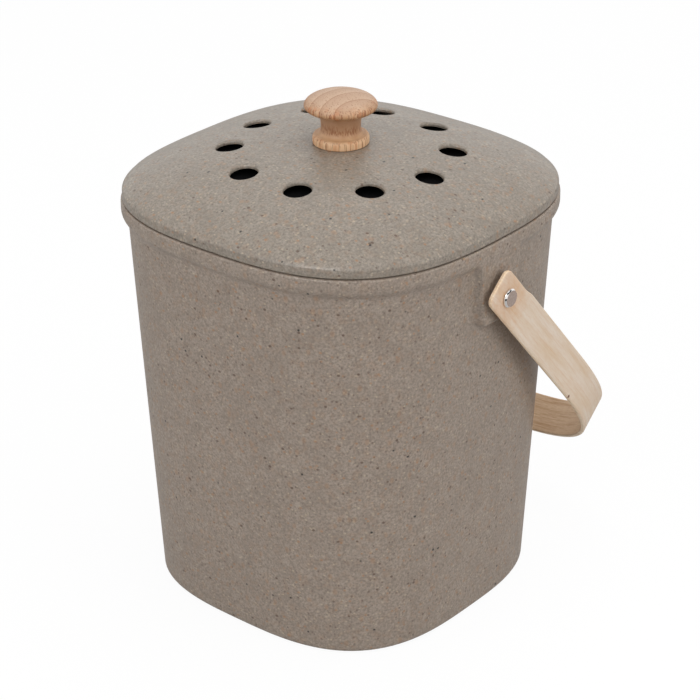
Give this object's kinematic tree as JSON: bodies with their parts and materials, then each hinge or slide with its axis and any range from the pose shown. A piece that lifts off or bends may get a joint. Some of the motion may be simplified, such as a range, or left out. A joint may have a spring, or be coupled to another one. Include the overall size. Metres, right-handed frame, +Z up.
{
  "type": "compost caddy",
  "caption": "Countertop compost caddy: tapered rounded-square bucket, lift-off vented dome lid with a turned knob, charcoal filter inside and a swinging bentwood bail.",
  "frame": {"origin": "centre of the bucket's flat underside, on the bucket's own axis", "axes": "+Z up through the knob; the bail pivots about an axis along X and lies towards +Y at rest"},
  "size_m": [0.1982, 0.2133, 0.2466],
  "materials": {
    "fibre": "satin, speckled",
    "wood": "turned and sanded, unvarnished",
    "strip": "sanded bamboo strip",
    "steel": "polished",
    "brass": "satin",
    "nylon": "satin",
    "charcoal": "matt pressed carbon felt"
  },
  "bodies": {
    "bin": {"bin_body": "fibre", "spacer_left": "nylon", "spacer_right": "nylon", "handle_post_left": "steel", "handle_post_right": "steel", "post_screw_left": "steel", "post_screw_right": "steel", "inner_washer_left": "steel", "inner_washer_right": "steel"},
    "handle": {"handle_strap": "strip"},
    "lid": {"lid": "fibre", "lid_knob": "wood", "knob_insert": "brass", "knob_screw": "steel", "knob_washer": "steel", "charcoal_filter": "charcoal"},
    "filter_cover": {"filter_cover": "fibre"}
  },
  "joints": [
    {"name": "handle_swing", "type": "hinge", "parent": "bin", "child": "handle", "pos_m": [0, 0, 0.1717], "axis": [1, 0, 0], "range_deg": [-8.5, 284.5]},
    {"name": "lid_lift", "type": "slide", "parent": "bin", "child": "lid", "axis": [0, 0, 1], "range_m": [0, 0.15]},
    {"name": "cover_twist", "type": "hinge", "parent": "lid", "child": "filter_cover", "pos_m": [0, 0, 0.2], "axis": [0, 0, 1], "range_deg": [0, 60]}
  ]
}
